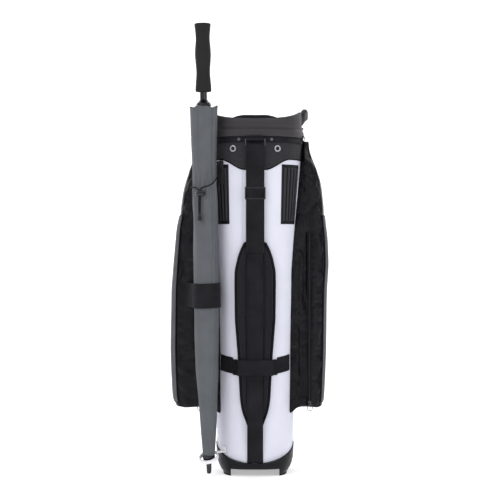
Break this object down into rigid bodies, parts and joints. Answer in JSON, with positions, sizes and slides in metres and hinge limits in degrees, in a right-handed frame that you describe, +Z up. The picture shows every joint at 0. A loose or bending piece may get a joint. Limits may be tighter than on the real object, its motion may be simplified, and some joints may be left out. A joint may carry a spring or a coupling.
{
  "type": "golf bag",
  "caption": "Upright golf cart bag with divided top, side and front pockets, padded shoulder strap and a closed umbrella held along its side.",
  "frame": {"origin": "centre of the base on the ground", "axes": "+Z up, -Y towards the spine and shoulder strap, +Y towards the front pockets, +X to the right seen from the spine side"},
  "size_m": [0.3955, 0.352, 1.0992],
  "materials": {
    "sole_rubber": "matt moulded rubber",
    "black_plastic": "fine grained moulding",
    "grey_plastic": "fine grained moulding",
    "liner": "smooth, matt",
    "white_fabric": "coated polyester, fine weave",
    "stay_metal": "bare strip",
    "webbing": "woven webbing",
    "charcoal_fabric": "coated polyester",
    "bright_metal": "polished nickel plate",
    "pad_mesh": "air mesh over foam",
    "ribbed_rubber": "satin ribbed moulding",
    "black_nylon": "light glossy nylon",
    "grey_fabric": "coated polyester, woven",
    "zip_tape": "woven tape with a coil",
    "zip_metal": "gunmetal plate",
    "white_plastic": "satin",
    "elastic_cord": "braided elastic",
    "foam_grip": "ribbed foam rubber",
    "gloss_black": "polished",
    "umbrella_steel": "dark plated tube",
    "umbrella_cloth": "pongee, plain weave"
  },
  "bodies": {
    "bag": {"rubber_sole": "sole_rubber", "base_moulding": "black_plastic", "liner_tube": "liner", "body_shell": "white_fabric", "spine_stay": "stay_metal", "divider_panels": "liner", "divider_top": "black_plastic", "collar": "grey_plastic", "side_handle_right": "grey_plastic", "side_handle_left": "grey_plastic", "front_handle": "black_plastic", "collar_trim_band": "webbing", "yoke": "charcoal_fabric", "eyelets": "bright_metal", "hood_snaps": "bright_metal", "ring_anchor_tab": "webbing", "strap_webbing_upper": "webbing", "shoulder_pad": "pad_mesh", "strap_webbing_lower": "webbing", "strap_keeper": "webbing", "cross_band": "webbing", "ribbed_panel_right": "ribbed_rubber", "ribbed_panel_left": "ribbed_rubber", "side_pocket_right": "black_nylon", "side_pocket_left": "black_nylon", "pocket_face_right": "grey_fabric", "pocket_face_left": "grey_fabric", "side_zips": "zip_tape", "ball_pocket": "white_fabric", "cooler_pocket": "grey_fabric", "accessory_pocket": "charcoal_fabric", "front_zips": "zip_tape", "umbrella_tip_loop": "white_plastic", "umbrella_strap_base": "webbing", "cord_anchor_patch": "charcoal_fabric", "umbrella_cord_front": "elastic_cord", "umbrella_cord_back": "elastic_cord", "cord_end": "black_plastic"},
    "strap_ring": {"strap_ring": "bright_metal"},
    "strap_slider": {"strap_slider": "black_plastic"},
    "zip_slider_right": {"side_zip_slider_right": "zip_metal"},
    "zip_slider_left": {"side_zip_slider_left": "zip_metal"},
    "pull_ring_right": {"pull_ring_right": "zip_metal"},
    "pull_ring_left": {"pull_ring_left": "zip_metal"},
    "ball_slider": {"ball_zip_slider": "zip_metal"},
    "cooler_slider": {"cooler_zip_slider": "zip_metal"},
    "accessory_slider": {"accessory_zip_slider": "zip_metal"},
    "ball_pull": {"ball_zip_pull": "zip_metal"},
    "cooler_pull": {"cooler_zip_pull": "zip_metal"},
    "accessory_pull": {"accessory_zip_pull": "zip_metal"},
    "umbrella_strap": {"umbrella_strap_flap": "webbing"},
    "cord_lock": {"cord_lock_body": "black_plastic"},
    "cord_lock_button": {"cord_lock_button": "black_plastic"},
    "umbrella": {"umbrella_grip": "foam_grip", "umbrella_housing": "gloss_black", "umbrella_shaft": "umbrella_steel", "umbrella_ribs": "umbrella_steel", "umbrella_canopy": "umbrella_cloth", "umbrella_ferrule": "gloss_black"},
    "umbrella_button": {"umbrella_button": "gloss_black"}
  },
  "joints": [
    {"name": "strap_ring_swing", "type": "hinge", "parent": "bag", "child": "strap_ring", "pos_m": [0, -0.13578, 0.81812], "axis": [1, 0, 0], "range_deg": [-2.5, 2.5]},
    {"name": "strap_slider_slide", "type": "slide", "parent": "bag", "child": "strap_slider", "axis": [0, -0.0318, 0.9995], "range_m": [-0.1, 0.09]},
    {"name": "zip_right", "type": "slide", "parent": "bag", "child": "zip_slider_right", "axis": [0, 0, 1], "range_m": [0, 0.41]},
    {"name": "pull_ring_right_swing", "type": "hinge", "parent": "zip_slider_right", "child": "pull_ring_right", "pos_m": [0.13443, -0.07412, 0.174], "axis": [-0.9703, -0.2419, 0], "range_deg": [-6, 150]},
    {"name": "zip_left", "type": "slide", "parent": "bag", "child": "zip_slider_left", "axis": [0, 0, 1], "range_m": [0, 0.41]},
    {"name": "pull_ring_left_swing", "type": "hinge", "parent": "zip_slider_left", "child": "pull_ring_left", "pos_m": [-0.13443, -0.07412, 0.174], "axis": [-0.9703, 0.2419, 0], "range_deg": [-6, 150]},
    {"name": "ball_zip", "type": "slide", "parent": "bag", "child": "ball_slider", "axis": [-1, 0, 0], "range_m": [0, 0.08]},
    {"name": "ball_pull_swing", "type": "hinge", "parent": "ball_slider", "child": "ball_pull", "pos_m": [0.04, 0.1903, 0.273], "axis": [1, 0, 0], "range_deg": [-6, 150]},
    {"name": "cooler_zip", "type": "slide", "parent": "bag", "child": "cooler_slider", "axis": [-1, 0, 0], "range_m": [0, 0.08]},
    {"name": "cooler_pull_swing", "type": "hinge", "parent": "cooler_slider", "child": "cooler_pull", "pos_m": [0.04, 0.1783, 0.493], "axis": [1, 0, 0], "range_deg": [-6, 150]},
    {"name": "accessory_zip", "type": "slide", "parent": "bag", "child": "accessory_slider", "axis": [-1, 0, 0], "range_m": [0, 0.08]},
    {"name": "accessory_pull_swing", "type": "hinge", "parent": "accessory_slider", "child": "accessory_pull", "pos_m": [0.04, 0.1643, 0.701], "axis": [1, 0, 0], "range_deg": [-6, 150]},
    {"name": "umbrella_strap_open", "type": "hinge", "parent": "bag", "child": "umbrella_strap", "pos_m": [-0.087, -0.10041, 0.4405], "axis": [0, 0, 1], "range_deg": [0, 68]},
    {"name": "cord_lock_slide", "type": "slide", "parent": "bag", "child": "cord_lock", "axis": [0, 0, 1], "range_m": [-0.036, 0]},
    {"name": "cord_lock_press", "type": "slide", "parent": "cord_lock", "child": "cord_lock_button", "axis": [-1, 0, 0], "range_m": [0, 0.003], "stiffness_N_per_m": 700, "springref_m": -0.003},
    {"name": "umbrella_lift", "type": "slide", "parent": "bag", "child": "umbrella", "axis": [-0.0141, -0.0156, 0.9998], "range_m": [0, 0.72]},
    {"name": "umbrella_button_press", "type": "slide", "parent": "umbrella", "child": "umbrella_button", "axis": [-0.0002, 0.9999, 0.0156], "range_m": [0, 0.0022], "stiffness_N_per_m": 900, "springref_m": -0.003}
  ]
}
